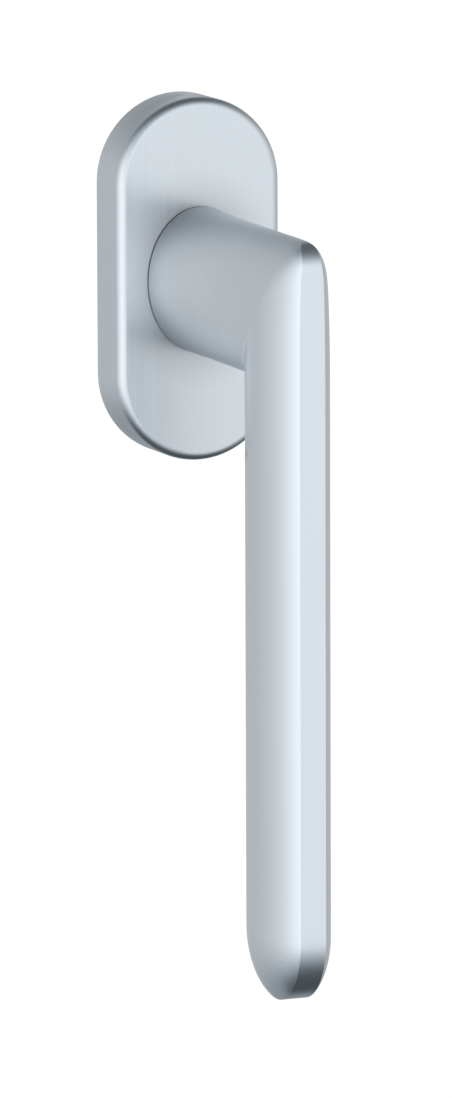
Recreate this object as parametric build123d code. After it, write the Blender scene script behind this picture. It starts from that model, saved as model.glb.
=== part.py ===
from build123d import *
import os

# Tilt and turn window handle. Units are millimetres.
# The sash face is the plane y = 0 and the room is towards -Y. +Z is up.
# The origin is on the spindle axis in the mounting face.
# A "depth" below is a distance in front of the mounting face, so y = -depth.

# Rose cover
ROSE_W = 33.4
ROSE_H = 70.0
ROSE_T = 11.1
ROSE_EDGE_R = 1.6
ROSE_WALL = 1.5
ROSE_INNER_R = 0.5
COVER_HOLE_R = 10.3

# Grip of the lever: an ellipse across, cut by a flat band in front and behind
GRIP_A = 6.7
GRIP_B = 13.0
BAND_REACH = 12.0
PROJECTION = 65.5
GRIP_AXIS = PROJECTION - BAND_REACH
TIP_CENTRE_Z = -118.7
TIP_STRETCH = 1.09

# Neck of the lever: an oval that narrows towards the grip while its top and bottom diverge
NECK_GAP = 0.3
NECK_START = ROSE_T + NECK_GAP
NECK_END = GRIP_AXIS - GRIP_B - 0.5
NECK_ROOT_A = 10.75
NECK_EASE = 1.8
NECK_STEPS = 6
ROOT_TOP = 14.1
ROOT_BOTTOM = -14.0
ELBOW_TOP = 13.75
ELBOW_BOTTOM = -14.7
ELBOW_MIDDLE = (ELBOW_TOP + ELBOW_BOTTOM) / 2
ELBOW_HALF = (ELBOW_TOP - ELBOW_BOTTOM) / 2
ELBOW_R = 5.0
ELBOW_CUT = 0.12

# Base plate
SLIP = 0.2
PLATE_T = 3.3
HOUSING_HALF_X = 13.2
HOUSING_HALF_Z = 14.8
HOUSING_TOP = 8.0
HOUSING_CORNER_R = 2.0
CHAMBER_HALF_X = 11.0
CHAMBER_HALF_Z = 10.8
CHAMBER_CORNER_R = 1.5
BOSS_R = 6.0
BOSS_TOP = 5.6

# Spring clips of the cover, each on a stud of the base plate
CLIP_STUD_Z = 29.6
CLIP_STUD_R = 1.0
CLIP_STUD_TOP = 4.6
CLIP_T = 0.5
CLIP_HALF = 3.0
CLIP_INNER_Z = 27.8
CLIP_OUTER_Z = 33.1
CLIP_TOP = 8.1
CLIP_LIP = 1.1

# Fixing screws and locating nibs, on the standard 43 mm spacing
SCREW_SPACING = 43.0
SCREW_R = 2.5
SCREW_SHANK_R = 2.2
SCREW_HOLE_R = 2.65
SCREW_HEAD_R = 4.6
SCREW_HEAD_RIM = 0.3
SCREW_LENGTH = 30.0
SCREW_END = BOSS_TOP - SCREW_LENGTH
SCREW_TIP = 0.6
SCREW_RECESS = 5.0
SCREW_RECESS_DEEP = 2.2
NIB_R = 5.0
NIB_LENGTH = 3.0

# Spindle
SPINDLE_SIDE = 7.0
SPINDLE_FIT = 0.03
SPINDLE_FRONT = 25.0
SPINDLE_END = -30.0
SPINDLE_LEAD = 0.8

# Hub
REAR_JOURNAL_R = 7.0
FRONT_JOURNAL_R = 8.0
HUB_REAR = 0.6
CAM_REAR = 4.2
CAM_FRONT = 7.6
CAM_HALF = 8.0
CAM_CORNER_R = 10.0
HUB_SHOULDER = 10.1
NOSE_R = 7.0
NOSE_FLAT = 5.5
NOSE_END = 27.0
EDGE = 0.5
END_PLAY = 0.3
FIT = 0.05
RUNNING_FIT = 0.03
SKIRT_R = 10.0
SLIDE_RING_R = 10.6

# Cap plate, bearings and washers
CAP_T = 1.2
CAP_TOP = HOUSING_TOP + CAP_T
CAP_BORE_R = 9.5
FLANGE_T = 0.3
FLANGE_REACH = 1.0
REAR_BUSH_R = 8.5
REAR_FLANGE_T = 0.2
THRUST_WASHER_R = 9.8
DISC_SPRING_R = 9.4
DISC_SPRING_T = 0.35
CAP_SCREW_R = 1.25
CAP_SCREW_HEAD_R = 2.2
CAP_SCREW_RIM = 0.1
CAP_SCREW_LENGTH = 5.0
CAP_SCREW_RECESS = 2.4
CAP_SCREW_RECESS_DEEP = 0.8
CAP_SCREW_X = 4.5
CAP_SCREW_Z = 12.9

# Detent springs
LEAF_T = 0.6
LEAF_GAP = 0.05
LEAF_HALF_Z = 12.3
LEAF_HALF_DEPTH = 1.7
LEAF_END_R = 1.0

# Spindle pin and grub screw
PIN_R = 1.25
PIN_HALF = 6.8
PIN_DEPTH = 16.5
PIN_EDGE = 0.2
GRUB_R = 3.0
GRUB_DEPTH = 21.5
GRUB_LENGTH = 6.5
GRUB_EDGE = 0.4
HEX_ACROSS = 3.0
HEX_DEEP = 3.0


def slab(sketch, start, end):
    """Solid of a sketch in the XZ plane, from one depth to another."""
    return extrude(Plane.XZ.offset(start) * sketch, end - start)


def cylinder(radius, start, end, x=0.0, z=0.0):
    """Round bar along the spindle axis."""
    return slab(Pos(x, z) * Circle(radius), start, end)


def ring(outer, inner, start, end):
    return slab(Circle(outer) - Circle(inner), start, end)


def stadium(width, height):
    return SlotOverall(height, width, rotation=90)


def turned(points):
    """Solid of revolution about the spindle axis, from (radius, depth) points."""
    outline = [(r, -depth) for r, depth in points]
    return revolve(make_face(Polyline(*outline, close=True)), Axis.Y)


# ---------------------------------------------------------------- rose


def make_rose_cover():
    shell = slab(stadium(ROSE_W, ROSE_H), 0, ROSE_T)
    shell = fillet(shell.faces().sort_by(Axis.Y)[0].edges(), ROSE_EDGE_R)
    inner = stadium(ROSE_W - 2 * ROSE_WALL, ROSE_H - 2 * ROSE_WALL)
    cavity = slab(inner, 0, ROSE_T - ROSE_WALL)
    cavity = fillet(cavity.faces().sort_by(Axis.Y)[0].edges(), ROSE_INNER_R)
    return shell - cavity - cylinder(COVER_HOLE_R, 0, ROSE_T)


def screw_profile(radius, head_r, rim, top, end):
    """Half outline of a countersunk screw, as (radius, depth) points."""
    under_head = top - rim - (head_r - radius)
    return [(0, top), (head_r, top), (head_r, top - rim), (radius, under_head), (radius, end), (0, end)]


def screw_seat():
    """Clearance hole with a countersink for one fixing screw."""
    play = SCREW_HOLE_R - SCREW_R
    return turned(screw_profile(SCREW_HOLE_R, SCREW_HEAD_R + play, SCREW_HEAD_RIM, BOSS_TOP, -NIB_LENGTH))


def housing_outline():
    return RectangleRounded(2 * HOUSING_HALF_X, 2 * HOUSING_HALF_Z, HOUSING_CORNER_R)


def make_base_plate():
    outline = stadium(ROSE_W - 2 * ROSE_WALL - 2 * SLIP, ROSE_H - 2 * ROSE_WALL - 2 * SLIP)
    plate = slab(outline, 0, PLATE_T)
    plate += slab(housing_outline(), PLATE_T, HOUSING_TOP)
    chamber = RectangleRounded(2 * CHAMBER_HALF_X, 2 * CHAMBER_HALF_Z, CHAMBER_CORNER_R)
    plate -= slab(chamber, PLATE_T, HOUSING_TOP)
    for side in (-1, 1):
        plate += cylinder(BOSS_R, PLATE_T, BOSS_TOP, z=side * SCREW_SPACING / 2)
        plate += cylinder(NIB_R, -NIB_LENGTH, 0, z=side * SCREW_SPACING / 2)
        plate += cylinder(CLIP_STUD_R, PLATE_T, CLIP_STUD_TOP, z=side * CLIP_STUD_Z)
        plate -= Pos(0, 0, side * SCREW_SPACING / 2) * screw_seat()
        slot_x = side * (CAM_HALF + LEAF_GAP + LEAF_T / 2)
        slot = Pos(slot_x, 0) * Rectangle(LEAF_T + 2 * LEAF_GAP, 2 * (LEAF_HALF_Z + SLIP))
        plate -= slab(slot, PLATE_T, HOUSING_TOP)
        for x in (-CAP_SCREW_X, CAP_SCREW_X):
            plate -= cylinder(CAP_SCREW_R, CAP_TOP - CAP_SCREW_LENGTH, HOUSING_TOP, x, side * CAP_SCREW_Z)
    return plate - cylinder(REAR_BUSH_R, 0, PLATE_T)


def make_cap_plate():
    plate = slab(housing_outline(), HOUSING_TOP, CAP_TOP)
    plate -= cylinder(CAP_BORE_R, HOUSING_TOP, CAP_TOP)
    for place in cap_screw_places():
        plate -= place * turned(cap_screw_profile())
    return plate


def cap_screw_places():
    return [Pos(x, 0, z) for x in (-CAP_SCREW_X, CAP_SCREW_X) for z in (-CAP_SCREW_Z, CAP_SCREW_Z)]


def cap_screw_profile():
    return screw_profile(CAP_SCREW_R, CAP_SCREW_HEAD_R, CAP_SCREW_RIM, CAP_TOP, CAP_TOP - CAP_SCREW_LENGTH)


def cross_recess(size, top, deep):
    """Cross-shaped driver recess in a screw head."""
    arm = Rectangle(size, size / 4) + Rectangle(size / 4, size)
    return slab(arm, top - deep, top)


def make_cap_screws():
    screw = turned(cap_screw_profile()) - cross_recess(CAP_SCREW_RECESS, CAP_TOP, CAP_SCREW_RECESS_DEEP)
    return Compound(children=[place * screw for place in cap_screw_places()])


def make_fixing_screw(side):
    """Countersunk screw with a thin shank in the plate and its thread behind the nib."""
    screw = turned(screw_profile(SCREW_SHANK_R, SCREW_HEAD_R, SCREW_HEAD_RIM, BOSS_TOP, -NIB_LENGTH))
    screw += cylinder(SCREW_R, SCREW_END, -NIB_LENGTH)
    screw -= cross_recess(SCREW_RECESS, BOSS_TOP, SCREW_RECESS_DEEP)
    screw = chamfer(screw.faces().sort_by(Axis.Y)[-1].edges(), SCREW_TIP)
    return Pos(0, 0, side * SCREW_SPACING / 2) * screw


def make_front_bush():
    sleeve = ring(CAP_BORE_R, FRONT_JOURNAL_R + RUNNING_FIT, HOUSING_TOP, CAP_TOP)
    flange = ring(CAP_BORE_R + FLANGE_REACH, FRONT_JOURNAL_R + RUNNING_FIT, CAP_TOP, CAP_TOP + FLANGE_T)
    return sleeve + flange


def make_rear_bush():
    sleeve = ring(REAR_BUSH_R, REAR_JOURNAL_R + RUNNING_FIT, HUB_REAR, PLATE_T)
    flange_r = REAR_BUSH_R + FLANGE_REACH
    return sleeve + ring(flange_r, REAR_JOURNAL_R + RUNNING_FIT, PLATE_T, PLATE_T + REAR_FLANGE_T)


def make_detent_spring(side):
    """Flat spring that lies on one face of the cam and bends out as a corner passes."""
    middle = (CAM_REAR + CAM_FRONT) / 2
    leaf = RectangleRounded(2 * LEAF_HALF_DEPTH, 2 * LEAF_HALF_Z, LEAF_END_R)
    leaf = extrude(Plane.YZ * Pos(-middle, 0) * leaf, LEAF_T / 2, both=True)
    return Pos(side * (CAM_HALF + LEAF_GAP + LEAF_T / 2), 0, 0) * leaf


def clip_strip(start, end, inner_z):
    """Part of a clip between two depths, from a z value out to the clip's outer face."""
    centre = (0, -(start + end) / 2, (inner_z + CLIP_OUTER_Z) / 2)
    return Pos(*centre) * Box(2 * CLIP_HALF, end - start, CLIP_OUTER_Z - inner_z)


def make_cover_clip(side):
    """Spring clip: a foot on the plate's stud and a leg that grips the cover's inner wall."""
    foot = clip_strip(PLATE_T, PLATE_T + CLIP_T, CLIP_INNER_Z)
    leg = clip_strip(PLATE_T, CLIP_TOP, CLIP_OUTER_Z - CLIP_T)
    lip = clip_strip(CLIP_TOP - CLIP_T, CLIP_TOP, CLIP_OUTER_Z - CLIP_LIP)
    clip = foot + leg + lip - cylinder(CLIP_STUD_R + FIT, PLATE_T, PLATE_T + CLIP_T, z=CLIP_STUD_Z)
    return clip if side > 0 else mirror(clip, Plane.XY)


# ---------------------------------------------------------------- turning parts


def make_hub():
    hub = cylinder(REAR_JOURNAL_R, HUB_REAR, CAM_REAR)
    hub += slab(Rectangle(2 * CAM_HALF, 2 * CAM_HALF) & Circle(CAM_CORNER_R), CAM_REAR, CAM_FRONT)
    hub += cylinder(FRONT_JOURNAL_R, CAM_FRONT, HUB_SHOULDER)
    hub += slab(nose_outline(0), HUB_SHOULDER, NOSE_END)
    hub = chamfer(hub.faces().sort_by(Axis.Y)[0].edges(), EDGE)
    side = SPINDLE_SIDE + 2 * SPINDLE_FIT
    hub -= slab(Rectangle(side, side), HUB_REAR, SPINDLE_FRONT + END_PLAY)
    return hub - spindle_pin_bar(2 * PIN_HALF)


def nose_outline(play):
    """Round nose with a flat above and below, on which the lever is clamped."""
    return Circle(NOSE_R + play) & Rectangle(3 * NOSE_R, 2 * (NOSE_FLAT + play))


def spindle_pin_bar(half):
    bar = Plane.YZ * Pos(-PIN_DEPTH, 0) * Circle(PIN_R)
    return extrude(bar, half, both=True)


def make_spindle():
    bar = slab(Rectangle(SPINDLE_SIDE, SPINDLE_SIDE), SPINDLE_END, SPINDLE_FRONT)
    bar = chamfer(bar.faces().sort_by(Axis.Y)[-1].edges(), SPINDLE_LEAD)
    bar = chamfer(bar.faces().sort_by(Axis.Y)[0].edges(), EDGE)
    return bar - spindle_pin_bar(SPINDLE_SIDE)


def make_spindle_pin():
    pin = spindle_pin_bar(PIN_HALF)
    return chamfer(pin.edges().filter_by(GeomType.CIRCLE), PIN_EDGE)


def make_grub_screw():
    """Socket set screw that runs up from the underside of the neck to the hub's flat."""
    screw = Pos(0, -GRUB_DEPTH, -NOSE_FLAT - GRUB_LENGTH / 2) * Cylinder(GRUB_R, GRUB_LENGTH)
    screw = chamfer(screw.edges().filter_by(GeomType.CIRCLE), GRUB_EDGE)
    hexagon = RegularPolygon(HEX_ACROSS / 2, 6, major_radius=False)
    low = Plane.XY.offset(-NOSE_FLAT - GRUB_LENGTH)
    return screw - extrude(low * Pos(0, -GRUB_DEPTH) * hexagon, HEX_DEEP)


def make_thrust_washer():
    return ring(THRUST_WASHER_R, FRONT_JOURNAL_R + FIT, CAM_FRONT + FIT, HOUSING_TOP - FIT)


def make_disc_spring():
    """Conical spring washer that takes up the end play behind the cam."""
    low = PLATE_T + REAR_FLANGE_T
    high = CAM_REAR - FIT
    inner = REAR_JOURNAL_R + 2 * FIT
    lower = [(inner, high - DISC_SPRING_T), (DISC_SPRING_R, low)]
    upper = [(DISC_SPRING_R, low + DISC_SPRING_T), (inner, high)]
    return turned(lower + upper)


def make_slide_ring():
    """Dark plastic ring in the gap between the neck and the cover."""
    return ring(SLIDE_RING_R, SKIRT_R + FIT, ROSE_T + FIT, NECK_START)


# ---------------------------------------------------------------- lever body


def neck_section(depth):
    """Oval section of the neck at one depth."""
    left = max(0.0, 1 - (depth - NECK_START) / (NECK_END - NECK_START))
    half_width = GRIP_A + (NECK_ROOT_A - GRIP_A) * left**NECK_EASE
    top = ELBOW_TOP + (ROOT_TOP - ELBOW_TOP) * left
    bottom = ELBOW_BOTTOM + (ROOT_BOTTOM - ELBOW_BOTTOM) * left
    return Plane.XZ.offset(depth) * Pos(0, (top + bottom) / 2) * Ellipse(half_width, (top - bottom) / 2)


def make_pillow():
    """Lever with convex cheeks, before its band is cut flat.

    The neck and the grip are two oval bars of one width, mitred at the elbow, and the grip ends
    in half of a flattened ball.
    """
    depths = [NECK_START + (NECK_END - NECK_START) * i / NECK_STEPS for i in range(NECK_STEPS + 1)]
    neck = loft([neck_section(depth) for depth in depths])
    neck += slab(Pos(0, ELBOW_MIDDLE) * Ellipse(GRIP_A, ELBOW_HALF), NECK_END, GRIP_AXIS + GRIP_B)
    grip = Pos(0, -GRIP_AXIS) * Ellipse(GRIP_A, GRIP_B)
    grip = Pos(0, 0, ELBOW_TOP) * extrude(grip, TIP_CENTRE_Z - ELBOW_TOP)
    near = (-(GRIP_AXIS - 2 * GRIP_B), ELBOW_MIDDLE - 2 * ELBOW_HALF)
    far = (-(GRIP_AXIS + 2 * GRIP_B), ELBOW_MIDDLE + 2 * ELBOW_HALF)
    above_mitre = make_face(Polyline(near, far, (0, far[1]), (0, near[1]), close=True))
    above_mitre = extrude(Plane.YZ * above_mitre, 2 * NECK_ROOT_A, both=True)
    half_oval = Ellipse(GRIP_A, GRIP_B) & Pos(0, -GRIP_B) * Rectangle(2 * GRIP_A, 2 * GRIP_B)
    tip = scale(revolve(half_oval, Axis.X, 180), by=(1, 1, TIP_STRETCH))
    return (neck & above_mitre) + (grip - above_mitre) + Pos(0, -GRIP_AXIS, TIP_CENTRE_Z) * tip


def side_outline():
    """Outline that cuts the band, as a face in the YZ plane. It clears the neck up to the elbow."""
    front = -PROJECTION
    back = -(GRIP_AXIS - BAND_REACH)
    root = -NECK_START
    arc_top = ELBOW_TOP - ELBOW_CUT
    clear_top = ROOT_TOP + 1
    clear_bottom = ELBOW_BOTTOM - 1
    top = Line((root, clear_top), (front + ELBOW_R, arc_top))
    elbow = RadiusArc((front + ELBOW_R, arc_top), (front, arc_top - ELBOW_R), -ELBOW_R)
    face_front = Line((front, arc_top - ELBOW_R), (front, TIP_CENTRE_Z))
    tip_centre = (-GRIP_AXIS, TIP_CENTRE_Z)
    tip = EllipticalCenterArc(tip_centre, BAND_REACH, TIP_STRETCH * BAND_REACH, 180, arc_size=180)
    face_back = Line((back, TIP_CENTRE_Z), (back, clear_bottom))
    under = Line((back, clear_bottom), (root, clear_bottom))
    close = Line((root, clear_bottom), (root, clear_top))
    return make_face([top, elbow, face_front, tip, face_back, under, close])


def make_lever_body():
    body = make_pillow() & extrude(Plane.YZ * side_outline(), 2 * NECK_ROOT_A, both=True)
    body += cylinder(SKIRT_R, HUB_SHOULDER + FIT, NECK_START)
    body -= slab(nose_outline(FIT), HUB_SHOULDER, NOSE_END + END_PLAY)
    grub_hole = Pos(0, -GRUB_DEPTH, ELBOW_BOTTOM) * Cylinder(GRUB_R, 2 * (-ELBOW_BOTTOM - NOSE_FLAT))
    return body - grub_hole


def main():
    parts = {
        "rose_cover": make_rose_cover(),
        "base_plate": make_base_plate(),
        "cap_plate": make_cap_plate(),
        "cap_screws": make_cap_screws(),
        "front_bush": make_front_bush(),
        "rear_bush": make_rear_bush(),
        "detent_spring_left": make_detent_spring(-1),
        "detent_spring_right": make_detent_spring(1),
        "fixing_screw_upper": make_fixing_screw(1),
        "fixing_screw_lower": make_fixing_screw(-1),
        "cover_clip_upper": make_cover_clip(1),
        "cover_clip_lower": make_cover_clip(-1),
        "lever_body": make_lever_body(),
        "hub": make_hub(),
        "spindle": make_spindle(),
        "spindle_pin": make_spindle_pin(),
        "grub_screw": make_grub_screw(),
        "thrust_washer": make_thrust_washer(),
        "disc_spring": make_disc_spring(),
        "slide_ring": make_slide_ring(),
    }
    os.makedirs("parts", exist_ok=True)
    for name, solid in parts.items():
        export_step(solid, f"parts/{name}.step")
        print(name, round(solid.volume, 2))


main()
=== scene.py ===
from math import asin, atan2, cos, hypot, pi, radians, sin, sqrt

import bmesh
import bpy
from mathutils import Matrix, Vector


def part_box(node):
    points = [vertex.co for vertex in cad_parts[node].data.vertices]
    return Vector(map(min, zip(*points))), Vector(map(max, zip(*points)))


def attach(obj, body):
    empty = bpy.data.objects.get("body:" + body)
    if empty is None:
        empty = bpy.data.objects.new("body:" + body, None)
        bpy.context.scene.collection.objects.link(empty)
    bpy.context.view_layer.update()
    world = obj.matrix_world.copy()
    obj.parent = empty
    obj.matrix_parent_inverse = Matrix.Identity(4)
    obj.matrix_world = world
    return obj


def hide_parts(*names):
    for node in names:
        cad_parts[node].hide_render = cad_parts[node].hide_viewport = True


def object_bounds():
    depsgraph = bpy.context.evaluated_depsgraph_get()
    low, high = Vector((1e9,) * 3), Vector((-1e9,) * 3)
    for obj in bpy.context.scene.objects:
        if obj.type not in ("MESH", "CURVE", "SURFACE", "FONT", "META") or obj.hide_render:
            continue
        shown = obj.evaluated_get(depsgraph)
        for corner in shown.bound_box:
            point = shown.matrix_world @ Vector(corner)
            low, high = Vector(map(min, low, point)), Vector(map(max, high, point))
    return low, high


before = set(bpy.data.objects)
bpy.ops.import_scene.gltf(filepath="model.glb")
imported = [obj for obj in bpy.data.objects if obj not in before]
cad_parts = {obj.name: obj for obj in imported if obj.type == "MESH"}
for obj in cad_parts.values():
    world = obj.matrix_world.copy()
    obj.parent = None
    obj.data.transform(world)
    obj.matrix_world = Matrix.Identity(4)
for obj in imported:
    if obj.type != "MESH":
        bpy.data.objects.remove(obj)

# A tilt and turn window handle in satin chrome. Lengths of the handle are written in millimetres
# and turned into metres where a mesh is made. The room is towards -Y and +Z is up.
# A "depth" is a distance in front of the mounting face, so y = -depth.

MM = 0.001
cad_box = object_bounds()


def depth_of(node):
    """Front depth of a CAD node, in millimetres."""
    return -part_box(node)[0].y / MM


LEVER_LOW, LEVER_HIGH = (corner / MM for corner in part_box("lever_body"))

# ------------------------------------------------------------------ camera

# Angles in degrees, distances in metres, lens and sensor in millimetres.
AZIMUTH = 22.7
ELEVATION = 9.5
ROLL = -0.2
DISTANCE = 1.8
AIM_RIGHT = 0.00926
AIM_DOWN = 0.05313
FOCAL = 307.1
SENSOR = 36.0
CLIP_START = 0.1
CLIP_END = 50.0


def make_camera():
    """Long lens, to the left of the handle and a little above it, aimed at the middle of the grip."""
    az, el, roll = radians(AZIMUTH), radians(ELEVATION), radians(ROLL)
    ahead = Vector((sin(az) * cos(el), cos(az) * cos(el), -sin(el)))
    level = Vector((cos(az), -sin(az), 0.0))
    upright = level.cross(ahead)
    right = level * cos(roll) + upright * sin(roll)
    up = upright * cos(roll) - level * sin(roll)
    camera = bpy.data.objects.new("camera", bpy.data.cameras.new("camera"))
    bpy.context.scene.collection.objects.link(camera)
    camera.location = right * AIM_RIGHT - up * AIM_DOWN - ahead * DISTANCE
    camera.rotation_euler = Matrix((right, up, -ahead)).transposed().to_euler()
    camera.data.lens = FOCAL
    camera.data.sensor_width = SENSOR
    camera.data.clip_start = CLIP_START
    camera.data.clip_end = CLIP_END
    bpy.context.scene.camera = camera


# ------------------------------------------------------------------ shader nodes


def feed(tree, node, inputs):
    """Gives inputs of a node, by name or number, a value or the output of another node."""
    for key, value in inputs.items():
        if isinstance(value, bpy.types.NodeSocket):
            tree.links.new(value, node.inputs[key])
        else:
            node.inputs[key].default_value = value


def add_node(tree, kind, inputs, **settings):
    """Shader node with its settings made and its inputs fed."""
    node = tree.nodes.new("ShaderNode" + kind)
    for name, value in settings.items():
        setattr(node, name, value)
    feed(tree, node, inputs)
    return node


def math_node(tree, operation, *values):
    """Math on numbers and outputs."""
    return add_node(tree, "Math", dict(enumerate(values)), operation=operation).outputs[0]


def spread(tree, value, start, end, low, high, interpolation="LINEAR"):
    """Maps a value from start..end to low..high, and no further."""
    inputs = {"Value": value, "From Min": start, "From Max": end, "To Min": low, "To Max": high}
    return add_node(tree, "MapRange", inputs, interpolation_type=interpolation).outputs[0]


def mix_colour(tree, share, first, second):
    """First colour where the share is 0, second colour where it is 1."""
    inputs = {"Factor": share, "A": first, "B": second}
    return add_node(tree, "Mix", inputs, data_type="RGBA").outputs["Result"]


# ------------------------------------------------------------------ light tent and floor

# The tent is brightest in front of the handle and to its left, darker overhead and darkest below.
# The camera looks in through a dimmer gap. Angles of directions are degrees to the left and up.
KEY_DIRECTION = (34.0, 0.0)
TENT_LOW = 0.60
TENT_GAIN = 0.93
TENT_COLOUR = (0.955, 1.0, 1.035, 1.0)
DIM_COLOUR = (0.85, 1.0, 1.11, 1.0)
GAP_DIRECTION = (16.2, 18.7)
GAP_WIDTH = 0.6
GAP_LEVEL = 0.60
SWEEP_LEVEL = 0.6
# From where to where the tent falls off, as heights or depths of a direction of length 1,
# and the share of the light that is left.
OVERHEAD = (0.05, 1.0, 0.18)
UNDERNEATH = (-0.18, -0.9, 0.12)
BEHIND = (0.75, 0.15, 0.0)

PLAIN_WHITE = (1.0, 1.0, 1.0, 1.0)
WHITE_LEVEL = 1.05
FLOOR_DROP = 0.30
FLOOR_HALF = 12.0


def fall_off(tree, value, start, end, low):
    """1 until the value reaches start, then smoothly down to low at end."""
    return spread(tree, value, start, end, 1.0, low, "SMOOTHSTEP")


def towards(tree, ray, left, up):
    """Cosine of the angle between the ray and a direction in front of the handle."""
    left, up = radians(left), radians(up)
    direction = (-sin(left) * cos(up), -cos(left) * cos(up), sin(up))
    return add_node(tree, "VectorMath", {0: ray, 1: direction}, operation="DOT_PRODUCT").outputs["Value"]


def tent_light(tree):
    """How much the tent is lit at a ray's height, and its strength there."""
    ray = add_node(tree, "TexCoord", {}).outputs["Generated"]
    axes = add_node(tree, "SeparateXYZ", {0: ray})
    facing = math_node(tree, "MULTIPLY_ADD", towards(tree, ray, *KEY_DIRECTION), 0.5, 0.5)
    facing = math_node(tree, "POWER", facing, 2.0)
    around = math_node(tree, "MULTIPLY_ADD", facing, TENT_GAIN, TENT_LOW)
    above = fall_off(tree, axes.outputs["Z"], *OVERHEAD)
    below = fall_off(tree, axes.outputs["Z"], *UNDERNEATH)
    height = math_node(tree, "MULTIPLY", above, below)
    angle = math_node(tree, "ARCCOSINE", towards(tree, ray, *GAP_DIRECTION))
    front = math_node(tree, "MULTIPLY", height, fall_off(tree, angle, GAP_WIDTH, 0.0, GAP_LEVEL))
    sweep = math_node(tree, "MULTIPLY", fall_off(tree, axes.outputs["Y"], *BEHIND), SWEEP_LEVEL)
    level = math_node(tree, "MAXIMUM", front, sweep)
    return height, math_node(tree, "MULTIPLY", around, level)


def make_world():
    """Light tent that lights the handle. The camera sees a plain white backdrop in its place."""
    world = bpy.data.worlds.new("studio")
    bpy.context.scene.world = world
    world.use_nodes = True
    tree = world.node_tree
    tree.nodes.clear()
    height, strength = tent_light(tree)
    colour = mix_colour(tree, height, DIM_COLOUR, TENT_COLOUR)
    tent = add_node(tree, "Background", {"Color": colour, "Strength": strength})
    white = add_node(tree, "Background", {"Color": PLAIN_WHITE, "Strength": WHITE_LEVEL})
    seen = add_node(tree, "LightPath", {}).outputs["Is Camera Ray"]
    mix = add_node(tree, "MixShader", {"Fac": seen, 1: tent.outputs[0], 2: white.outputs[0]})
    add_node(tree, "OutputWorld", {"Surface": mix.outputs[0]})


def make_floor():
    """Pale floor far below the handle."""
    level = cad_box[0].z - FLOOR_DROP
    corners = [(x * FLOOR_HALF, y * FLOOR_HALF, level) for x, y in ((-1, -1), (1, -1), (1, 1), (-1, 1))]
    mesh = bpy.data.meshes.new("floor")
    mesh.from_pydata(corners, [], [(0, 1, 2, 3)])
    floor = bpy.data.objects.new("floor", mesh)
    bpy.context.scene.collection.objects.link(floor)
    floor.visible_glossy = False
    floor.visible_diffuse = False
    material = bpy.data.materials.new("pale_floor")
    material.use_nodes = True
    tree = material.node_tree
    tree.nodes.clear()
    glow = add_node(tree, "Emission", {"Strength": WHITE_LEVEL})
    add_node(tree, "OutputMaterial", {"Surface": glow.outputs[0]})
    mesh.materials.append(material)


# ------------------------------------------------------------------ materials

# Range that most of a noise's values lie in.
NOISE_LOW = 0.3
NOISE_HIGH = 0.7

# Satin chrome. Painted shade: in corners and near other parts the colour is darkened to a share of itself,
# below the given open share.
SATIN = (0.69, 0.715, 0.737)
BRUSH_DETAIL = 4.0
BRUSH_DEPTH = 0.00002
PAINTED_SHADE_LEVEL = 0.60
PAINTED_SHADE_START = 0.3
PAINTED_SHADE_SAMPLES = 24


def scaled(colour, factor):
    """Colour times a number."""
    return tuple(channel * factor for channel in colour)


def principled(name, colour, metallic, roughness):
    """Material with a principled shader, its node tree and that shader."""
    material = bpy.data.materials.new(name)
    material.use_nodes = True
    tree = material.node_tree
    tree.nodes.clear()
    inputs = {"Base Color": (*colour, 1.0), "Metallic": metallic, "Roughness": roughness}
    shader = add_node(tree, "BsdfPrincipled", inputs)
    add_node(tree, "OutputMaterial", {"Surface": shader.outputs[0]})
    return material, tree, shader


def noise(tree, scale, detail=3.0):
    """Noise in the part's own coordinates, with its own scale along each axis (per metre)."""
    place = add_node(tree, "TexCoord", {}).outputs["Object"]
    mapped = add_node(tree, "Mapping", {"Vector": place, "Scale": scale}).outputs[0]
    return add_node(tree, "TexNoise", {"Vector": mapped, "Scale": 1.0, "Detail": detail}).outputs["Fac"]


def tint(tree, value, dark, light):
    """Colour from dark to light by a noise."""
    node = add_node(tree, "ValToRGB", {"Fac": value})
    low, high = node.color_ramp.elements
    low.position, low.color = NOISE_LOW, (*dark, 1.0)
    high.position, high.color = NOISE_HIGH, (*light, 1.0)
    return node.outputs["Color"]


def bump(tree, value, strength, distance):
    """Normal of a surface with small relief."""
    inputs = {"Strength": strength, "Distance": distance, "Height": value}
    return add_node(tree, "Bump", inputs).outputs["Normal"]


def painted_corner_shade(tree, colour, reach):
    """Colour darkened by painted shade in corners and near other parts, out to a reach in metres."""
    # The occlusion node darkens the base colour: painted shade where other surfaces are near.
    corner = add_node(tree, "AmbientOcclusion", {"Distance": reach}, samples=PAINTED_SHADE_SAMPLES)
    unshaded_share = spread(tree, corner.outputs["AO"], PAINTED_SHADE_START, 1.0, 0.0, 1.0)
    shaded_colour = add_node(tree, "VectorMath", {0: colour, "Scale": PAINTED_SHADE_LEVEL}, operation="SCALE")
    return mix_colour(tree, unshaded_share, shaded_colour.outputs[0], colour)


def satin_chrome(name, level, roughness, streak, grain_scale, relief, reach, sideways=0.0):
    """Satin chrome with fine brushing marks that change its tone, gloss and height, and painted shade in
    corners.
    """
    base = scaled(SATIN, level)
    material, tree, shader = principled(name, base, 1.0, roughness)
    marks = noise(tree, grain_scale, BRUSH_DETAIL)
    colour = tint(tree, marks, scaled(base, 1 - streak), scaled(base, 1 + streak))
    around = add_node(tree, "Tangent", {}, direction_type="RADIAL", axis="Z")
    gloss = spread(tree, marks, NOISE_LOW, NOISE_HIGH, roughness - streak, roughness + streak)
    feed(tree, shader, {
        "Base Color": painted_corner_shade(tree, colour, reach),
        "Roughness": gloss,
        "Normal": bump(tree, marks, relief, BRUSH_DEPTH),
        "Tangent": around.outputs[0],
        "Anisotropic": sideways,
    })
    return material


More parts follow.
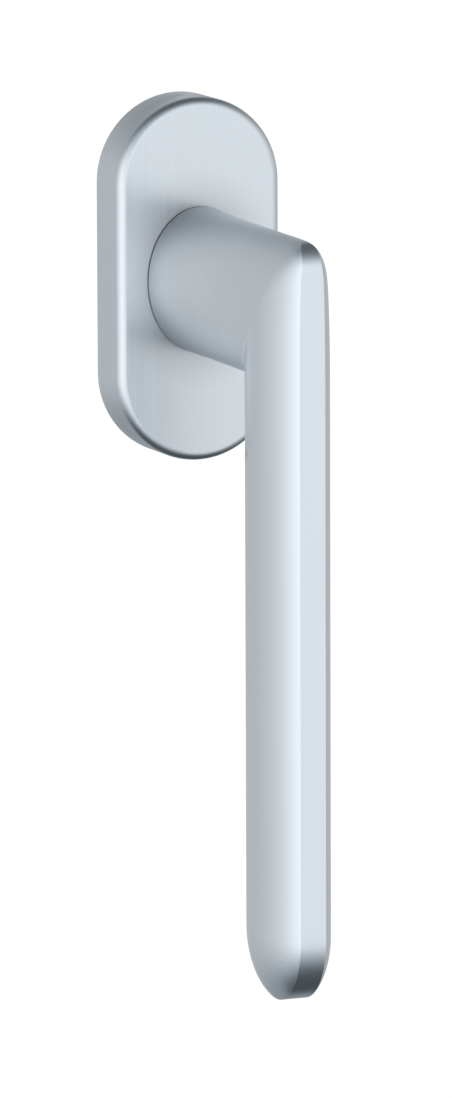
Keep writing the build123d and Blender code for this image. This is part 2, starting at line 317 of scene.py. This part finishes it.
def grained(name, colour, metallic, roughness, grain, tones, glosses, relief, depth):
    """Material with a fine, even grain: a range of tones and of roughness around the given ones."""
    material, tree, shader = principled(name, colour, metallic, roughness)
    grains = noise(tree, (grain, grain, grain))
    glosses = [roughness + change for change in glosses]
    feed(tree, shader, {
        "Base Color": tint(tree, grains, *(scaled(colour, tone) for tone in tones)),
        "Roughness": spread(tree, grains, NOISE_LOW, NOISE_HIGH, *glosses),
        "Normal": bump(tree, grains, relief, depth),
    })
    return material


def plain_metal(name, colour, roughness, grain=1500.0):
    """Metal of a part that is mostly hidden."""
    return grained(name, colour, 1.0, roughness, grain, (0.88, 1.1), (-0.06, 0.08), 0.2, 0.00004)


def plastic(name, colour, roughness):
    """Moulded plastic."""
    return grained(name, colour, 0.0, roughness, 900.0, (0.93, 1.05), (-0.05, 0.05), 0.15, 0.00003)


def rose_satin():
    """Vertical brushing, which spreads reflections sideways."""
    return satin_chrome("satin_chrome_rose", level=0.95, roughness=0.32, streak=0.03,
                        grain_scale=(2600.0, 2600.0, 25.0), relief=0.15, reach=0.008, sideways=0.6)


def lever_satin():
    """Finer and smoother than the rose."""
    return satin_chrome("satin_chrome_lever", level=1.0, roughness=0.29, streak=0.012,
                        grain_scale=(4500.0, 4500.0, 70.0), relief=0.03, reach=0.018)


def dress_cad_nodes():
    """Materials of the parts that are shown by their CAD meshes."""
    plated = plain_metal("zinc_plate", (0.62, 0.65, 0.70), 0.3, 600.0)
    spring = plain_metal("spring_steel", (0.35, 0.36, 0.38), 0.3, 900.0)
    acetal = plastic("white_acetal", (0.78, 0.78, 0.74), 0.45)
    material_of = {
        "rose_cover": rose_satin(),
        "slide_ring": plastic("dark_plastic", (0.30, 0.31, 0.32), 0.5),
        "base_plate": plain_metal("zinc_casting", (0.42, 0.43, 0.44), 0.5),
        "cap_plate": plated,
        "cap_screws": plated,
        "fixing_screw_upper": plated,
        "fixing_screw_lower": plated,
        "spindle": plated,
        "front_bush": acetal,
        "rear_bush": acetal,
        "thrust_washer": acetal,
        "detent_spring_left": spring,
        "detent_spring_right": spring,
        "cover_clip_upper": spring,
        "cover_clip_lower": spring,
        "disc_spring": spring,
        "spindle_pin": spring,
        "hub": plain_metal("turned_steel", (0.52, 0.53, 0.55), 0.28, 1200.0),
        "grub_screw": plain_metal("blackened_steel", (0.03, 0.03, 0.035), 0.4, 900.0),
    }
    for node, material in material_of.items():
        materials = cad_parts[node].data.materials
        materials.clear()
        materials.append(material)


# ------------------------------------------------------------------ lever: shape

# Grip and band. The grip's section is an ellipse across, cut flat in front and behind.
PROJECTION = -LEVER_LOW.y
BAND_REACH = 12.0
GRIP_A = 6.7
GRIP_B = 13.0
GRIP_AXIS = PROJECTION - BAND_REACH
GRIP_BACK = GRIP_AXIS - BAND_REACH
TIP_STRETCH = 1.09
TIP_CENTRE_Z = LEVER_LOW.z + TIP_STRETCH * BAND_REACH

# Neck. It is an oval whose width eases into the grip's.
ROOT_GAP = 0.3
NECK_START = depth_of("rose_cover") + ROOT_GAP
NECK_END = GRIP_AXIS - GRIP_B - 0.5
NECK_ROOT_A = LEVER_HIGH.x
NECK_EASE = 1.8
ROOT_TOP = 14.1
ROOT_BOTTOM = -14.0

# Elbow. It gets narrower upwards from NARROW_LOW to NARROW_HIGH, along the last NARROW_RUN of the neck.
ELBOW_TOP = 13.7
ELBOW_BOTTOM = -14.7
ELBOW_R = 5.0
INNER_R = 2.0
NARROWING = 0.18
NARROW_LOW = -12.0
NARROW_HIGH = 14.0
NARROW_RUN = 14.0
HIP_POWER = 3.1
CREASE_POWER = 8.0
FAN_DEPTH = GRIP_BACK - INNER_R
FAN_Z = ELBOW_BOTTOM - INNER_R

# Skirt that turns in the rose, and socket for the hub.
SKIRT_R = 10.0
SKIRT_END = -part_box("lever_body")[1].y / MM
SOCKET_R = 7.05
SOCKET_END = 27.3

# How finely the lever is divided, and what is too small to keep.
NECK_STEPS = 28
TOP_STEPS = 18
ARC_STEPS = 20
FRONT_STEPS = 16
GRIP_STEPS = 40
TIP_STEPS = 40
ACROSS = 40
DRILL_SEGMENTS = 64
SLIVER = 1e-6
MERGE = 1e-7


def ramp(value, start, end):
    """0 before start, 1 after end, and linear between."""
    return min(1.0, max(0.0, (value - start) / (end - start)))


def spaced(start, end, count, first=0):
    """Evenly spaced values, without the end, or with first=1 without the start."""
    return [start + (end - start) * i / count for i in range(first, first + count)]


def neck_top(depth):
    """Height of the neck's upper edge."""
    return ROOT_TOP + (ELBOW_TOP - ROOT_TOP) * ramp(depth, NECK_START, PROJECTION - ELBOW_R)


def neck_bottom(depth):
    """Height of the neck's lower edge."""
    return ROOT_BOTTOM + (ELBOW_BOTTOM - ROOT_BOTTOM) * ramp(depth, NECK_START, GRIP_BACK)


def half_width(depth, z):
    """Half width along the middle of the lever: it eases from neck to grip and narrows up the elbow."""
    left = 1 - ramp(depth, NECK_START, NECK_END)
    width = GRIP_A + (NECK_ROOT_A - GRIP_A) * left**NECK_EASE
    rise = ramp(z, NARROW_LOW, NARROW_HIGH) ** 2
    run = ramp(depth, NECK_END - NARROW_RUN, PROJECTION - ELBOW_R)
    return width * (1 - NARROWING * rise * run)


def edge_share(depth, z):
    """0 on the middle line of the lever and 1 where its cheeks would meet."""
    top, bottom = neck_top(depth), neck_bottom(depth)
    across_neck = ((2 * z - top - bottom) / (top - bottom)) ** 2
    across_grip = ((depth - GRIP_AXIS) / GRIP_B) ** 2
    above = 2 * z >= top + bottom
    if above and depth <= GRIP_AXIS:
        return across_neck
    if not above and depth >= GRIP_AXIS:
        return across_grip
    if above:
        return (across_neck**HIP_POWER + across_grip**HIP_POWER) ** (1 / HIP_POWER)
    low, high = sorted((across_neck, across_grip))
    if low < SLIVER:
        return low
    return low * (1 + (low / high) ** CREASE_POWER) ** (-1 / CREASE_POWER)


def cheek(depth, z):
    """Half width at a point of the side view. Where the cheeks all but meet they are closed."""
    left = 1 - edge_share(depth, z)
    return half_width(depth, z) * sqrt(left) if left > SLIVER else 0.0


def within_cheeks(depth, z):
    """Outline point, moved in to where the cheeks meet if it lies beyond that."""
    middle = (neck_top(depth) + neck_bottom(depth)) / 2
    shrink = 1 / sqrt(max(1.0, edge_share(depth, z)))
    return GRIP_AXIS + (depth - GRIP_AXIS) * shrink, middle + (z - middle) * shrink


def elbow_outline():
    """Outline in the side view, from above the elbow's inner corner over the top and down the front."""
    arc_depth = PROJECTION - ELBOW_R
    arc_z = ELBOW_TOP - ELBOW_R
    top = [(depth, neck_top(depth)) for depth in spaced(FAN_DEPTH, arc_depth, TOP_STEPS)]
    turns = [pi / 2 * i / ARC_STEPS for i in range(ARC_STEPS + 1)]
    arc = [(arc_depth + ELBOW_R * sin(turn), arc_z + ELBOW_R * cos(turn)) for turn in turns]
    front = [(PROJECTION, z) for z in spaced(arc_z, FAN_Z, FRONT_STEPS, first=1)]
    return [within_cheeks(*point) for point in top + arc + front]


def section(inner, outer):
    """Points of the side view from an inner to an outer edge, closer together where the cheek falls off."""
    low = -asin(min(1.0, sqrt(edge_share(*inner))))
    high = asin(min(1.0, sqrt(edge_share(*outer))))
    points = []
    for j in range(ACROSS + 1):
        angle = low + (high - low) * j / ACROSS
        t = (sin(angle) - sin(low)) / (sin(high) - sin(low))
        points.append((inner[0] + (outer[0] - inner[0]) * t, inner[1] + (outer[1] - inner[1]) * t))
    return points


def lever_sections():
    """Sections from the neck's root to the tip's centre. Those of the elbow fan out from its inner corner."""
    neck = [((depth, neck_bottom(depth)), (depth, neck_top(depth)))
            for depth in spaced(NECK_START, FAN_DEPTH, NECK_STEPS)]
    elbow = []
    for depth, z in elbow_outline():
        reach = hypot(depth - FAN_DEPTH, z - FAN_Z)
        inner_depth = FAN_DEPTH + INNER_R * (depth - FAN_DEPTH) / reach
        inner_z = FAN_Z + INNER_R * (z - FAN_Z) / reach
        elbow.append(((inner_depth, inner_z), (depth, z)))
    grip = [((GRIP_BACK, z), (PROJECTION, z)) for z in spaced(FAN_Z, TIP_CENTRE_Z, GRIP_STEPS, first=1)]
    return [section(inner, outer) for inner, outer in neck + elbow + grip]


def lever_point(depth, z, side):
    """Point of a cheek, in metres."""
    return Vector((side * cheek(depth, z), -depth, z)) * MM


def tip_point(angle, turn, side):
    """Point of the tip, at an angle away from its middle and a turn from front to back, in metres."""
    reach = GRIP_B * sin(angle)
    depth = GRIP_AXIS + reach * cos(turn)
    z = TIP_CENTRE_Z - TIP_STRETCH * reach * sin(turn)
    return Vector((side * GRIP_A * cos(angle), -depth, z)) * MM


# ------------------------------------------------------------------ lever: mesh


def add_grid(made, rows, flip=False):
    """Quads between neighbouring rows of vertices."""
    for row, following in zip(rows, rows[1:]):
        for j in range(len(row) - 1):
            corners = [row[j], row[j + 1], following[j + 1], following[j]]
            if len({tuple(v.co) for v in corners}) > 2:
                made.faces.new(corners[::-1] if flip else corners)


def add_tip(made, rows):
    """Half of a flattened ball, in spokes about the tip's centre, and the band round it."""
    half = ACROSS // 2
    limit = asin(BAND_REACH / GRIP_B)
    edges = {}
    for side in (-1, 1):
        last = rows[side][-1]
        spokes = [last[half:]]
        for k in range(1, TIP_STEPS):
            turn = pi * k / TIP_STEPS
            points = [tip_point(limit * j / half, turn, side) for j in range(1, half + 1)]
            spokes.append([last[half]] + [made.verts.new(point) for point in points])
        spokes.append(last[half::-1])
        for spoke, following in zip(spokes, spokes[1:]):
            for j in range(half):
                corners = [spoke[j], spoke[j + 1], following[j + 1], following[j]]
                unique = list(dict.fromkeys(corners))
                made.faces.new(unique[::-1] if side > 0 else unique)
        edges[side] = [spoke[-1] for spoke in spokes]
    add_grid(made, [edges[-1], edges[1]])


def add_root(made, rows):
    """Root face, the round skirt that turns in the rose, and the blind socket for the hub."""
    loop = rows[-1][0] + rows[1][0][::-1][1:-1]
    steps = [(SKIRT_R, NECK_START), (SKIRT_R, SKIRT_END), (SOCKET_R, SKIRT_END), (SOCKET_R, SOCKET_END)]
    rings = [loop]
    for radius, depth in steps:
        angles = [atan2(v.co.z, v.co.x) for v in loop]
        points = [Vector((radius * cos(angle), -depth, radius * sin(angle))) * MM for angle in angles]
        rings.append([made.verts.new(point) for point in points])
    for ring, following in zip(rings, rings[1:]):
        for j in range(len(loop)):
            k = (j + 1) % len(loop)
            made.faces.new([ring[j], ring[k], following[k], following[j]])
    made.faces.new(rings[-1])


def as_mesh(name, made):
    """Finished mesh of a bmesh."""
    mesh = bpy.data.meshes.new(name)
    made.to_mesh(mesh)
    made.free()
    return mesh


def lever_mesh():
    """Two convex cheeks, the flat band round their outline, and the root with its socket."""
    made = bmesh.new()
    sections = lever_sections()
    rows = {}
    for side in (-1, 1):
        rows[side] = [[made.verts.new(lever_point(d, z, side)) for d, z in row] for row in sections]
        add_grid(made, rows[side], flip=side > 0)
    for edge in (0, -1):
        rails = [[row[edge] for row in rows[side]] for side in (-1, 1)]
        add_grid(made, rails, flip=edge == 0)
    add_tip(made, rows)
    add_root(made, rows)
    bmesh.ops.remove_doubles(made, verts=made.verts, dist=MERGE)
    bmesh.ops.recalc_face_normals(made, faces=made.faces)
    return as_mesh("lever", made)


DRILL_START = ROOT_BOTTOM - 2.0


def grub_drill():
    """Upright cylinder where the grub screw's hole runs, from below the neck up to the screw's front end."""
    low, high = (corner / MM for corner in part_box("grub_screw"))
    radius = (high.x - low.x) / 2
    middle = Vector((0.0, (low.y + high.y) / 2, (DRILL_START + high.z) / 2))
    made = bmesh.new()
    bmesh.ops.create_cone(made, cap_ends=True, segments=DRILL_SEGMENTS,
                          radius1=radius * MM, radius2=radius * MM,
                          depth=(high.z - DRILL_START) * MM, matrix=Matrix.Translation(middle * MM))
    return as_mesh("grub_drill", made)


def drilled(mesh, drill):
    """Mesh with another mesh cut out of it."""
    body = bpy.data.objects.new("body", mesh)
    tool = bpy.data.objects.new("tool", drill)
    for thing in (body, tool):
        bpy.context.scene.collection.objects.link(thing)
    cut = body.modifiers.new("cut", "BOOLEAN")
    cut.operation = "DIFFERENCE"
    cut.solver = "EXACT"
    cut.object = tool
    result = bpy.data.meshes.new_from_object(body.evaluated_get(bpy.context.evaluated_depsgraph_get()))
    for thing in (body, tool):
        bpy.data.objects.remove(thing)
    return result


SHARP_ANGLE = radians(28)
EDGE_ROUNDING = 0.18
ROUNDING_SEGMENTS = 3


def add_rounding(piece):
    """Small real rounding on sharp edges."""
    bevel = piece.modifiers.new("edge", "BEVEL")
    bevel.width = EDGE_ROUNDING * MM
    bevel.segments = ROUNDING_SEGMENTS
    bevel.limit_method = "ANGLE"
    bevel.angle_limit = SHARP_ANGLE
    bevel.harden_normals = True


def make_lever():
    """Lever with smooth shading that breaks at real edges. It stands for the CAD lever."""
    mesh = drilled(lever_mesh(), grub_drill())
    mesh.shade_smooth()
    mesh.set_sharp_from_angle(angle=SHARP_ANGLE)
    mesh.materials.append(lever_satin())
    lever = bpy.data.objects.new("lever", mesh)
    bpy.context.scene.collection.objects.link(lever)
    add_rounding(lever)
    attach(lever, "lever")
    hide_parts("lever_body")


# ------------------------------------------------------------------ build

make_camera()
make_world()
make_floor()
bpy.context.scene.view_settings.view_transform = "Standard"
dress_cad_nodes()
make_lever()
